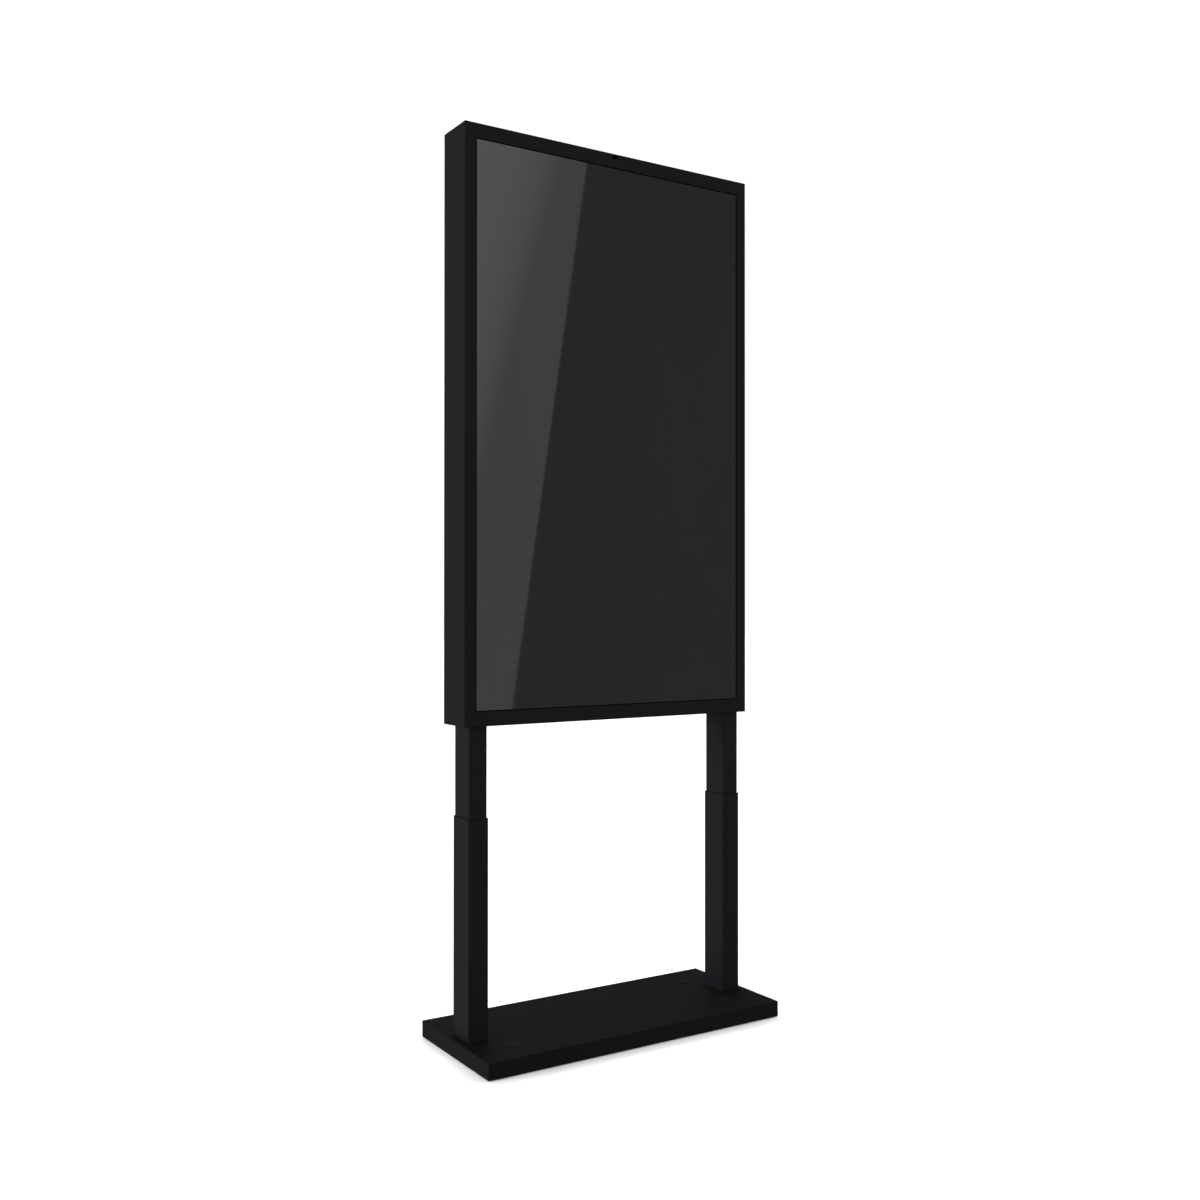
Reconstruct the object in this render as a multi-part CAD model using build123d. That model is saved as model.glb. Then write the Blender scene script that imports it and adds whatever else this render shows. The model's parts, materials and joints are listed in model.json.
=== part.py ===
"""A free-standing 55-inch portrait touchscreen kiosk on two motor-driven telescopic columns.

Frame: +Z up, millimetres, origin on the floor under the middle of the base. The screen faces -Y and +X is to
the viewer's right. The kiosk is drawn part way up its lift, with the rear door shut but not locked.

Three groups of pieces: the base with the outer column tubes, the head with the inner tubes, screen and
equipment, and the rear service door. Every piece is a solid of its own, written to parts/NAME.step.
"""
from build123d import *
import math
import os

# ---------------------------------------------------------------- driving dimensions, mm
# Base
BASE_W = 746.0
BASE_D = 336.0
BASE_TOP = 37.0
COVER_SHEET = 3.0
COVER_FLOOR_GAP = 2.0
BALLAST_W = 700.0
BALLAST_D = 290.0
BALLAST_Z = (10.0, 26.0)
FOOT_X = 278.0
FOOT_Y = 87.0
PAD_RADIUS = 20.0
PAD_HEIGHT = 5.0
STUD_RADIUS = 5.0
PLUG_RADIUS = 18.0
PLUG_HOLE = 16.0
# Lifting columns
COLUMN_X = 333.0
COLUMN_Y = 2.0
OUTER_TUBE = (46.5, 78.0, 1.5, 3.0)  # width, depth, wall, corner radius
INNER_TUBE = (41.5, 73.0, 2.0, 2.5)
COLUMN_TOP = 510.0
COLLAR_LIP = 3.0
LIFT_DOWN = 170.0
LIFT_UP = 130.0
TUBE_OVERLAP = 120.0  # least length of inner tube left in the outer tube, fully raised
SPINDLE_RADIUS = 7.0
RUNNING_GAP = 0.06
NUT_Z = (350.0, 380.0)
# Head
HEAD_W = 740.0
HEAD_H = 1280.0
HEAD_Z = 706.0
HEAD_FRONT = -45.5
HEAD_BACK = 60.0
SHEET = 2.0
EDGE_RADIUS = 1.5
GLASS_W = 684.0
GLASS_H = 1213.0
GLASS_T = 4.0
GLASS_SETBACK = 1.0
GASKET = 2.0
LCD_W = 698.0
LCD_H = 1227.0
VESA = 400.0
# Door and its fittings
DOOR_GAP = 2.0
HINGE_X = 364.0
HINGE_Y = 64.0
HINGE_Z = (850.0, 1346.0, 1842.0)
HINGE_HALF = 30.0
KNUCKLE_RADIUS = 3.4
LOCK_X = -338.0
LOCK_Z = {"lower": 1046.0, "upper": 1646.0}
FAN_Z = 1840.0
FAN_SIZE = 120.0
FAN_DEPTH = 25.0
# Controls
INLET = (200.0, 30.0)  # x and y of the mains inlet under the head
SWITCH_Y = 6.0
SWITCH_Z = 800.0
BUTTON_STEP = 17.0
BUTTON = (16.0, 24.0)
BUTTON_OUT = 373.0
SENSOR_Z = 1978.0
# Internal frame
FLANGE_T = 8.0
CROSSBAR_Z = {"lower": 890.0, "upper": 1802.0}
CROSSBAR = (20.0, 40.0, 2.0)  # depth, height, wall
RAIL_X = 200.0
RAIL_Z = (840.0, 1852.0)
PLATE_Z = (1020.0, 1680.0)

# ---------------------------------------------------------------- sizes that follow
HEAD_TOP = HEAD_Z + HEAD_H
HEAD_MID = HEAD_Z + HEAD_H / 2
BEZEL_BACK = HEAD_FRONT + SHEET
GLASS_FRONT = HEAD_FRONT + GLASS_SETBACK
GLASS_BACK = GLASS_FRONT + GLASS_T
CARRIER_BACK = GLASS_BACK + SHEET
LCD_BACK = CARRIER_BACK + 12.0
CHASSIS_BACK = LCD_BACK + 14.0
RAIL_BACK = CHASSIS_BACK + 12.0
CROSSBAR_BACK = RAIL_BACK + CROSSBAR[0]
OPENING_W = GLASS_W + 2 * GASKET
OPENING_H = GLASS_H + 2 * GASKET
COVER_UNDER = BASE_TOP - COVER_SHEET
TUBE_FOOT = BALLAST_Z[1] + FLANGE_T
INNER_BOTTOM = COLUMN_TOP - TUBE_OVERLAP - LIFT_UP
MOTOR_BOTTOM = NUT_Z[1] + 2.0 + LIFT_DOWN
SPINDLE_TOP = MOTOR_BOTTOM + 19.0
SPINDLE_BOTTOM = NUT_Z[0] - 5.0 - LIFT_UP
DOOR_SEAT = HEAD_BACK - SHEET
WALL_X = HEAD_W / 2 - SHEET
SIDES = {"left": -1, "right": 1}

nodes = {}


# ---------------------------------------------------------------- helpers
def block(x, y, z):
    """A box between the (low, high) pairs given for each axis."""
    spans = (x, y, z)
    size = [high - low for low, high in spans]
    centre = [(high + low) / 2 for low, high in spans]
    return Pos(*centre) * Box(*size)


def rod(radius, z, x=0.0, y=0.0):
    """An upright cylinder between two heights."""
    return Pos(x, y, (z[0] + z[1]) / 2) * Cylinder(radius, z[1] - z[0])


def rod_y(radius, y, x=0.0, z=0.0):
    """A cylinder along Y between two depths."""
    return Pos(x, (y[0] + y[1]) / 2, z) * Rot(90, 0, 0) * Cylinder(radius, y[1] - y[0])


def prism(width, depth, radius, z):
    """An upright bar with rounded corners, centred on the Z axis."""
    return Pos(0, 0, z[0]) * extrude(RectangleRounded(width, depth, radius), z[1] - z[0])


def ring(outer, inner, z):
    """A rectangular tube: outer and inner are (width, depth, corner radius)."""
    return prism(*outer, z) - prism(*inner, (z[0] - 1, z[1] + 1))


def panel(width, height, y, middle=HEAD_MID):
    """An upright rectangular plate centred on x = 0 and on the middle of the head."""
    return block((-width / 2, width / 2), y, (middle - height / 2, middle + height / 2))


def hexagon(across, z, x=0.0, y=0.0):
    """A hexagonal prism, given its size across flats."""
    return Pos(x, y, z[0]) * extrude(RegularPolygon(across / math.sqrt(3), 6), z[1] - z[0])


def group(solids):
    """Separate solids kept together in one node."""
    return Compound(children=list(solids))


def corners(x, y):
    """The four sign combinations of a rectangular pattern."""
    return [(sx * x, sy * y) for sx in (-1, 1) for sy in (-1, 1)]


def columns(shape):
    """Cuts or copies placed on both column axes."""
    return [Pos(side * COLUMN_X, COLUMN_Y, 0) * shape for side in SIDES.values()]


# ---------------------------------------------------------------- base
def base_cover():
    width, depth, _, radius = OUTER_TUBE
    shell = block((-BASE_W / 2, BASE_W / 2), (-BASE_D / 2, BASE_D / 2), (COVER_FLOOR_GAP, BASE_TOP))
    upper = [e for e in shell.edges() if e.center().Z > COVER_FLOOR_GAP + 1]
    shell = fillet(upper, EDGE_RADIUS)
    inside_w = BASE_W / 2 - COVER_SHEET
    inside_d = BASE_D / 2 - COVER_SHEET
    shell -= block((-inside_w, inside_w), (-inside_d, inside_d), (0, COVER_UNDER))
    for slot in columns(prism(width + 0.8, depth + 0.8, radius + 0.4, (COVER_UNDER - 1, BASE_TOP + 1))):
        shell -= slot
    for x, y in corners(FOOT_X, FOOT_Y):
        shell -= rod(PLUG_HOLE, (COVER_UNDER - 1, BASE_TOP + 1), x, y)
    return shell


COLUMN_BOLTS = corners(20.0, 50.0)
BOLT_RADIUS = 4.0


def ballast_plate():
    plate = block((-BALLAST_W / 2, BALLAST_W / 2), (-BALLAST_D / 2, BALLAST_D / 2), BALLAST_Z)
    plate = chamfer(plate.edges().filter_by(Axis.Z), 8)
    sink = Pos(0, 0, BALLAST_Z[0] + 2) * Cone(8.0, BOLT_RADIUS + 0.2, 4.0)
    hole = sink + rod(BOLT_RADIUS + 0.2, (BALLAST_Z[0], BALLAST_Z[1] + 1))
    for side in SIDES.values():
        for x, y in COLUMN_BOLTS:
            plate -= Pos(side * COLUMN_X + x, COLUMN_Y + y, 0) * hole
    for x, y in corners(FOOT_X, FOOT_Y):
        plate -= rod(STUD_RADIUS + 0.1, (BALLAST_Z[0] - 1, BALLAST_Z[1] + 1), x, y)
    return plate


def column_bolt():
    head = Pos(0, 0, BALLAST_Z[0] + 2) * Cone(7.7, BOLT_RADIUS - 0.1, 4.0)
    shank = rod(BOLT_RADIUS, (BALLAST_Z[0] + 4, TUBE_FOOT - 1))
    return head + shank - hexagon(5, (BALLAST_Z[0] - 1, BALLAST_Z[0] + 3))


def levelling_stud():
    top = BALLAST_Z[1] + 5
    stud = rod(12.0, (PAD_HEIGHT, PAD_HEIGHT + 3)) + rod(STUD_RADIUS, (PAD_HEIGHT + 3, top))
    return stud - hexagon(5, (top - 5, top + 1))


def levelling_pad():
    pad = rod(PAD_RADIUS, (0, PAD_HEIGHT))
    return fillet(pad.edges().group_by(Axis.Z)[-1], 1.0)


def levelling_lock_nut():
    return hexagon(17, (BALLAST_Z[1], BALLAST_Z[1] + 5)) - rod(STUD_RADIUS + 0.1, (0, 60))


def access_plug():
    head = rod(PLUG_RADIUS, (BASE_TOP, BASE_TOP + 1.6))
    head = fillet(head.edges().group_by(Axis.Z)[-1], 1.2)
    stem = rod(PLUG_HOLE - 0.2, (COVER_UNDER - 1, BASE_TOP)) - rod(13.5, (0, BASE_TOP))
    return head + stem


def at_feet(shape):
    return group([Pos(x, y, 0) * shape for x, y in corners(FOOT_X, FOOT_Y)])


def build_base():
    nodes["base_cover"] = base_cover()
    nodes["ballast_plate"] = ballast_plate()
    nodes["levelling_studs"] = at_feet(levelling_stud())
    nodes["levelling_pads"] = at_feet(levelling_pad())
    nodes["levelling_lock_nuts"] = at_feet(levelling_lock_nut())
    nodes["access_plugs"] = at_feet(access_plug())
    bolts = [Pos(x, y, 0) * column_bolt() for x, y in COLUMN_BOLTS]
    nodes["column_bolts"] = group([b for bolt in bolts for b in columns(bolt)])


# ---------------------------------------------------------------- lifting columns, drawn on the Z axis
def column_flange():
    plate = prism(60, 122, 4, (BALLAST_Z[1], TUBE_FOOT))
    for x, y in COLUMN_BOLTS:
        plate -= rod(BOLT_RADIUS + 0.05, (0, 60), x, y)
    return plate


def hollow(tube, z):
    """A length of the given rectangular tube."""
    width, depth, wall, radius = tube
    inner = (width - 2 * wall, depth - 2 * wall, max(radius - wall, 0.5))
    return ring((width, depth, radius), inner, z)


def glide_collar():
    """Plastic guide in the mouth of the outer tube, with a lip over the tube's end."""
    width, depth, wall, radius = OUTER_TUBE
    bore = (INNER_TUBE[0] + 0.4, INNER_TUBE[1] + 0.4, INNER_TUBE[3] + 0.2)
    seat = (width - 2 * wall - 0.2, depth - 2 * wall - 0.2, radius - wall)
    lip_z = (COLUMN_TOP - COLLAR_LIP, COLUMN_TOP)
    lip = prism(width, depth, radius, lip_z)
    lip = fillet(lip.edges().group_by(Axis.Z)[-1], 1.0)
    skirt = prism(*seat, (lip_z[0] - 35, lip_z[0]))
    return lip + skirt - prism(*bore, (lip_z[0] - 40, COLUMN_TOP + 1))


def glide_shoe():
    """Plastic shoe round the inner tube's lower end, with a lip under it."""
    width, depth, wall, radius = OUTER_TUBE
    outside = (width - 2 * wall - 0.4, depth - 2 * wall - 0.4, radius - wall)
    tube_w, tube_d, tube_wall, tube_r = INNER_TUBE
    clear = (tube_w - 2 * tube_wall, tube_d - 2 * tube_wall, 0.5)
    sleeve = ring(outside, (tube_w, tube_d, tube_r), (INNER_BOTTOM, INNER_BOTTOM + 40))
    return sleeve + ring(outside, clear, (INNER_BOTTOM - 3, INNER_BOTTOM))


def push_tube():
    return rod(14.0, (TUBE_FOOT, NUT_Z[0])) - rod(12.0, (TUBE_FOOT - 1, NUT_Z[0] + 1))


def spindle_nut():
    nut = rod(14.0, NUT_Z) + rod(11.95, (NUT_Z[0] - 20, NUT_Z[0]))
    return nut - rod(SPINDLE_RADIUS + RUNNING_GAP, (NUT_Z[0] - 30, NUT_Z[1] + 10))


def spindle():
    screw = rod(SPINDLE_RADIUS, (SPINDLE_BOTTOM, SPINDLE_TOP))
    return chamfer(screw.edges().group_by(Axis.Z)[0], 1.5)


def gearmotor():
    """In-line motor and gearbox on a plate that fills the inner tube."""
    plate_z = (MOTOR_BOTTOM, MOTOR_BOTTOM + 8)
    gear_z = (plate_z[1], plate_z[1] + 42)
    motor_z = (gear_z[1], gear_z[1] + 90)
    tube_w, tube_d, wall, _ = INNER_TUBE
    body = prism(tube_w - 2 * wall - 0.4, tube_d - 2 * wall - 0.4, 0.6, plate_z)
    body += rod(18.0, gear_z) + rod(17.0, motor_z)
    body += rod(4.5, (motor_z[1], motor_z[1] + 5))
    return body - rod(SPINDLE_RADIUS + RUNNING_GAP, (MOTOR_BOTTOM - 1, SPINDLE_TOP + 1))


FLANGE_STUDS = corners(26.0, 34.0)
FLANGE_TOP = HEAD_Z + SHEET + FLANGE_T
LEAD_HOLE = 8.0


def head_flange():
    plate = prism(64, 88, 3, (HEAD_Z + SHEET, FLANGE_TOP)) - rod(LEAD_HOLE, (700, 720))
    for x, y in FLANGE_STUDS:
        plate -= rod(3.3, (700, 720), x, y)
    for x in (-10, 10):
        plate -= rod(2.55, (700, 720), x, 31)
    return plate


def head_bracket():
    foot = block((-19, 19), (-10, 43), (FLANGE_TOP, FLANGE_TOP + 4)) - rod(LEAD_HOLE, (700, 730))
    web_y = (CROSSBAR_BACK - COLUMN_Y, CROSSBAR_BACK - COLUMN_Y + 4)
    web = block((-19, 19), web_y, (FLANGE_TOP + 4, CROSSBAR_Z["lower"] + 22))
    bracket = foot + web
    for x in (-10, 10):
        bracket -= rod(2.6, (700, 730), x, 31)
        bracket -= rod_y(3.1, (web_y[0] - 1, web_y[1] + 1), x, CROSSBAR_Z["lower"])
    return bracket


def build_columns():
    pieces = {
        "column_flange": column_flange(),
        "outer_tube": hollow(OUTER_TUBE, (TUBE_FOOT, COLUMN_TOP - COLLAR_LIP)),
        "glide_collar": glide_collar(),
        "push_tube": push_tube(),
        "spindle_nut": spindle_nut(),
        "spindle": spindle(),
        "inner_tube": hollow(INNER_TUBE, (INNER_BOTTOM, HEAD_Z + SHEET)),
        "glide_shoe": glide_shoe(),
        "gearmotor": gearmotor(),
        "head_flange": head_flange(),
        "head_bracket": head_bracket(),
    }
    for name, shape in pieces.items():
        for side, sign in SIDES.items():
            nodes[f"{name}_{side}"] = Pos(sign * COLUMN_X, COLUMN_Y, 0) * shape


# ---------------------------------------------------------------- head housing and screen
def inlet_hole(z):
    x, y = INLET
    return block((x - 23.8, x + 23.8), (y - 13.8, y + 13.8), z)


def switch_body(x, gap):
    height = BUTTON_STEP + BUTTON[1] / 2 + 4 + gap
    half = BUTTON[0] / 2 + 3 + gap
    return block(x, (SWITCH_Y - half, SWITCH_Y + half), (SWITCH_Z - height, SWITCH_Z + height))


def housing():
    """Welded sheet-steel shell: bezel, four walls and the return that the door shuts on."""
    span = (HEAD_FRONT, HEAD_BACK)
    shell = block((-HEAD_W / 2, HEAD_W / 2), span, (HEAD_Z, HEAD_TOP))
    shell = fillet(shell.edges(), EDGE_RADIUS)
    inner_h = HEAD_H - 2 * SHEET
    shell -= panel(2 * WALL_X, inner_h, (BEZEL_BACK, HEAD_BACK + 1))
    shell -= panel(OPENING_W, OPENING_H, (HEAD_FRONT - 1, BEZEL_BACK + 1))
    lip_y = (DOOR_SEAT - SHEET, DOOR_SEAT)
    way_in = panel(2 * WALL_X - 32, inner_h - 32, (lip_y[0] - 1, lip_y[1] + 1))
    shell += panel(2 * WALL_X, inner_h, lip_y) - way_in
    floor_z = (HEAD_Z - 1, HEAD_Z + SHEET + 1)
    for cut in columns(prism(INNER_TUBE[0] + 0.5, INNER_TUBE[1] + 0.5, INNER_TUBE[3] + 0.3, floor_z)):
        shell -= cut
    for x, y in FLANGE_STUDS:
        for stud in columns(rod(3.0, (HEAD_Z + SHEET, FLANGE_TOP + 7), x, y)):
            shell += stud
    shell -= Pos(0, HEAD_FRONT + 1, SENSOR_Z) * Rot(90, 0, 0) * extrude(SlotOverall(13, 9.4), 3, both=True)
    shell -= inlet_hole(floor_z)
    shell -= switch_body((WALL_X - 1, HEAD_W / 2 + 1), 0.3)
    return shell


def glass_carrier():
    """Frame behind the bezel that the glass is bonded to."""
    carrier = panel(720, 1250, (BEZEL_BACK, CARRIER_BACK))
    carrier -= panel(GLASS_W + 6, GLASS_H + 6, (BEZEL_BACK - 1, GLASS_BACK))
    return carrier - panel(GLASS_W - 12, GLASS_H - 12, (BEZEL_BACK - 1, CARRIER_BACK + 1))


def touch_glass():
    glass = panel(GLASS_W, GLASS_H, (GLASS_FRONT, GLASS_BACK))
    return chamfer(glass.faces().sort_by(Axis.Y)[0].edges(), 0.5)


def glass_gasket():
    depth = (GLASS_FRONT + 0.6, GLASS_BACK - 0.5)
    outer = panel(OPENING_W, OPENING_H, depth)
    return outer - panel(GLASS_W, GLASS_H, (depth[0] - 1, depth[1] + 1))


def lcd_chassis():
    """Pressed steel tray behind the panel with screw bosses, and the driver-board cover on its back."""
    wall = 1.2
    width, height = LCD_W - 8, LCD_H - 8
    tray = panel(width, height, (LCD_BACK, CHASSIS_BACK))
    tray -= panel(width - 2 * wall, height - 2 * wall, (LCD_BACK - 1, CHASSIS_BACK - wall))
    for x, z in corners(VESA / 2, VESA / 2):
        tray += rod_y(8.0, (CHASSIS_BACK - 10, CHASSIS_BACK), x, HEAD_MID + z)
        tray -= rod_y(3.05, (CHASSIS_BACK - 11, CHASSIS_BACK + 1), x, HEAD_MID + z)
    cover = panel(260, 420, (CHASSIS_BACK, CHASSIS_BACK + 11))
    cover = chamfer(cover.faces().sort_by(Axis.Y)[-1].edges(), wall)
    cover -= panel(260 - 2 * wall, 420 - 2 * wall, (CHASSIS_BACK - 1, CHASSIS_BACK + 11 - wall))
    for x in range(-100, 101, 20):
        for z in (HEAD_MID - 150, HEAD_MID + 150):
            cover -= block((x - 2, x + 2), (CHASSIS_BACK + 5, CHASSIS_BACK + 20), (z - 25, z + 25))
    return group([tray, cover])


def vesa_rail(x):
    """U-channel, open to the rear, that carries the screen."""
    rail = block((x - 20, x + 20), (CHASSIS_BACK, RAIL_BACK), RAIL_Z)
    rail -= block((x - 18, x + 18), (CHASSIS_BACK + 2, RAIL_BACK + 1), (RAIL_Z[0] - 1, RAIL_Z[1] + 1))
    for z in (HEAD_MID - VESA / 2, HEAD_MID + VESA / 2):
        rail -= rod_y(3.2, (CHASSIS_BACK - 1, RAIL_BACK), x, z)
    for z in CROSSBAR_Z.values():
        rail -= rod_y(2.6, (CHASSIS_BACK - 1, RAIL_BACK), x, z)
    return rail


def crossbar(z, holes):
    """Rectangular tube from wall to wall, with bolt holes given as (x, radius)."""
    _, height, wall = CROSSBAR
    bar = block((-WALL_X, WALL_X), (RAIL_BACK, CROSSBAR_BACK), (z - height / 2, z + height / 2))
    inside = (z - height / 2 + wall, z + height / 2 - wall)
    bar -= block((-WALL_X - 1, WALL_X + 1), (RAIL_BACK + wall, CROSSBAR_BACK - wall), inside)
    for x, radius in holes:
        bar -= rod_y(radius, (RAIL_BACK - 1, CROSSBAR_BACK + 1), x, z)
    return bar


def screw_y(radius, tip, seat, head, x, z):
    """A cap screw along Y whose head stands behind the seat."""
    screw = rod_y(radius, (tip, seat), x, z) + rod_y(radius * 1.7, (seat, seat + head), x, z)
    socket = Pos(x, seat + head - 2, z) * Rot(-90, 0, 0) * extrude(RegularPolygon(radius * 0.9, 6), 3)
    return screw - socket


def head_fasteners():
    """Screws of the internal frame, and the nuts on the studs of the column flanges."""
    nut_z = (FLANGE_TOP, FLANGE_TOP + 5)
    nuts = [hexagon(10, nut_z, x, y) - rod(3.1, (700, 730), x, y) for x, y in FLANGE_STUDS]
    screws = [n for nut in nuts for n in columns(nut)]
    for x, z in corners(VESA / 2, VESA / 2):
        screws.append(screw_y(3.0, CHASSIS_BACK - 8, CHASSIS_BACK + 2, 4, x, HEAD_MID + z))
    for x in (-RAIL_X, RAIL_X):
        for z in CROSSBAR_Z.values():
            screws.append(screw_y(2.5, CHASSIS_BACK + 1, CROSSBAR_BACK, 3.5, x, z))
        for z in PLATE_SCREWS:
            screws.append(screw_y(2.0, RAIL_BACK - 6, RAIL_BACK + SHEET, 3, x, z))
    for side in SIDES.values():
        for x in (-10, 10):
            place = side * COLUMN_X + x
            screws.append(screw_y(3.0, CROSSBAR_BACK - 12, CROSSBAR_BACK + 4, 4, place, CROSSBAR_Z["lower"]))
            foot = rod(2.5, (HEAD_Z + 3, FLANGE_TOP + 4)) + rod(4.2, (FLANGE_TOP + 4, FLANGE_TOP + 8))
            screws.append(Pos(place, COLUMN_Y + 31, 0) * foot)
    return group(screws)


PLATE_SCREWS = (PLATE_Z[0] + 15, PLATE_Z[1] - 15)
SCREEN_LEAD = (-54.0, 1392.5)  # x and z of the hole for the screen's own lead


def equipment_plate():
    """Slotted steel plate across the rails, which carries the equipment."""
    plate = block((-222, 222), (RAIL_BACK, RAIL_BACK + SHEET), PLATE_Z)
    cuts = [
        block((x - 12, x + 12), (RAIL_BACK - 1, RAIL_BACK + SHEET + 1), (z - 2.5, z + 2.5))
        for x in range(-140, 141, 40)
        for z in range(int(PLATE_Z[0]) + 35, int(PLATE_Z[1]), 45)
    ]
    plate -= cuts
    through = (RAIL_BACK - 1, RAIL_BACK + SHEET + 1)
    for x in (-RAIL_X, RAIL_X):
        for z in PLATE_SCREWS:
            plate -= rod_y(2.1, through, x, z)
    return plate - rod_y(7.0, through, *SCREEN_LEAD)


def build_screen():
    nodes["housing"] = housing()
    nodes["glass_carrier"] = glass_carrier()
    nodes["touch_glass"] = touch_glass()
    nodes["glass_gasket"] = glass_gasket()
    nodes["lcd_panel"] = panel(LCD_W, LCD_H, (CARRIER_BACK, LCD_BACK))
    nodes["lcd_chassis"] = lcd_chassis()
    for side, sign in SIDES.items():
        nodes[f"vesa_rail_{side}"] = vesa_rail(sign * RAIL_X)
    rail_holes = [(-RAIL_X, 2.6), (RAIL_X, 2.6)]
    bracket_holes = [(s * COLUMN_X + x, 3.1) for s in SIDES.values() for x in (-10, 10)]
    lower = crossbar(CROSSBAR_Z["lower"], rail_holes + bracket_holes)
    nodes["crossbars"] = group([lower, crossbar(CROSSBAR_Z["upper"], rail_holes)])
    nodes["equipment_plate"] = equipment_plate()
    nodes["head_fasteners"] = head_fasteners()


# ---------------------------------------------------------------- equipment on the plate
PLATE_FACE = RAIL_BACK + SHEET


def media_player():
    """Finned aluminium computer with its sockets underneath."""
    x, z, depth = (-205, -15), (1450, 1625), 38.0
    body = block(x, (PLATE_FACE, PLATE_FACE + depth), z)
    body = fillet(body.edges().filter_by(Axis.Z), 4)
    middle = sum(x) / 2
    gap_y = (PLATE_FACE + depth - 9, PLATE_FACE + 50)
    gap_z = (z[0] - 1, z[1] + 1)
    body -= [block((middle + i * 12 - 3.5, middle + i * 12 + 3.5), gap_y, gap_z) for i in range(-7, 8)]
    socket_y = (PLATE_FACE + 8, PLATE_FACE + 16)
    socket_z = (z[0] - 1, z[0] + 10)
    centres = [middle + i * 28 for i in range(-2, 3)]
    return body - [block((x - 8, x + 8), socket_y, socket_z) for x in centres]


def power_supply():
    """Mains supply in a vented metal case."""
    x, z, depth = (-190, -80), (1075, 1290), 32.0
    body = block(x, (PLATE_FACE, PLATE_FACE + depth), z)
    body = fillet(body.edges().filter_by(Axis.Z), 2)
    vent_y = (PLATE_FACE + depth - 2, PLATE_FACE + 40)
    for i in range(10):
        low = z[1] - 30 - i * 10
        body -= block((x[0] + 14, x[1] - 14), vent_y, (low, low + 4))
    terminal = block((x[0] + 10, x[1] - 10), (PLATE_FACE + 6, PLATE_FACE + 22), (z[0] - 10, z[0]))
    for i in range(5):
        terminal -= rod_y(3.5, (PLATE_FACE + 14, PLATE_FACE + 30), x[0] + 23 + i * 16, z[0] - 5)
    return body + terminal


def lift_controller():
    """Plastic control box that runs both column motors together."""
    x, z, depth = (30, 170), (1080, 1340), 36.0
    body = block(x, (PLATE_FACE, PLATE_FACE + depth), z)
    body = fillet(body.edges().filter_by(Axis.Z), 8)
    body = fillet(body.faces().sort_by(Axis.Y)[-1].edges(), 3)
    socket_y = (PLATE_FACE + 9, PLATE_FACE + 25)
    socket_z = (z[0] - 1, z[0] + 9)
    centres = [x[0] + 24 + i * 28 for i in range(4)]
    return body - [block((x - 8, x + 8), socket_y, socket_z) for x in centres]


LEAD_RADIUS = 2.5
MOTOR_TOP = MOTOR_BOTTOM + 8 + 42 + 90 + 5
BAR_FACE = CROSSBAR_BACK
LEADS = {
    "left_motor": [
        (-COLUMN_X, COLUMN_Y, MOTOR_TOP),
        (-COLUMN_X, COLUMN_Y, 734),
        (-324, 5, 770),
        (-304, 14, 806),
        (-291, 23, 846),
        (-286, 24.5, 875),
        (-282, 24.5, 905),
        (-271, 22, 942),
        (-254, 15, 978),
        (-230, 9, 1012),
        (-196, 6.5, 1034),
        (-148, 6, 1042),
        (-96, 5.8, 1043),
        (-44, 6, 1042),
        (6, 7.5, 1043),
        (40, 12, 1049),
        (54, 18.5, 1066),
        (54, 18.5, 1089),
    ],
    "right_motor": [
        (COLUMN_X, COLUMN_Y, MOTOR_TOP),
        (COLUMN_X, COLUMN_Y, 734),
        (324, 5, 770),
        (304, 14, 806),
        (291, 23, 846),
        (286, 24.5, 875),
        (282, 24.5, 905),
        (271, 22, 942),
        (254, 15, 978),
        (230, 9, 1012),
        (198, 6.5, 1036),
        (168, 8, 1046),
        (146, 13.5, 1056),
        (138, 18.5, 1071),
        (138, 18.5, 1089),
    ],
    "mains": [
        (INLET[0], INLET[1], 735),
        (INLET[0], INLET[1], 772),
        (194, 29.5, 808),
        (184, 26, 845),
        (179, 24.5, 875),
        (175, 24.5, 905),
        (166, 21, 942),
        (150, 14, 978),
        (124, 8.5, 1010),
        (84, 6.5, 1027),
        (36, 6, 1031),
        (-16, 5.8, 1030),
        (-66, 6.5, 1031),
        (-104, 9, 1035),
        (-127, 14.5, 1046),
        (-131, 15.5, 1056),
        (-131, 15.5, 1065),
    ],
    "screen": [
        (-54, PLATE_FACE + 12, 1459),
        (-52, PLATE_FACE + 13, 1432),
        (-54, PLATE_FACE + 12.5, 1405.5),
        (-54, PLATE_FACE + 6, 1392.5),
        (-54, CHASSIS_BACK + 11, 1392.5),
    ],
}
# Each clip: the lead, the run that it holds and the face that it stands on.
CLIPS = [
    ("left_motor", 5, BAR_FACE),
    ("right_motor", 5, BAR_FACE),
    ("mains", 4, BAR_FACE),
    ("left_motor", 11, PLATE_FACE),
    ("left_motor", 13, PLATE_FACE),
    ("right_motor", 10, PLATE_FACE),
    ("mains", 9, PLATE_FACE),
    ("mains", 11, PLATE_FACE),
]


def lead(points):
    """A round lead along straight runs joined by the largest arcs that the runs allow."""
    points = [Vector(*p) for p in points]
    runs = [b - a for a, b in zip(points, points[1:])]
    radii = []
    for before, after in zip(runs, runs[1:]):
        turn = math.radians(before.get_angle(after))
        radii.append(0.45 * min(before.length, after.length) / math.tan(turn / 2))
    print("lead bend radii, mm:", [round(r) for r in radii])
    path = FilletPolyline(*points, radius=radii)
    start = Plane(origin=points[0], z_dir=runs[0])
    return sweep(start * Circle(LEAD_RADIUS), path)


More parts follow.
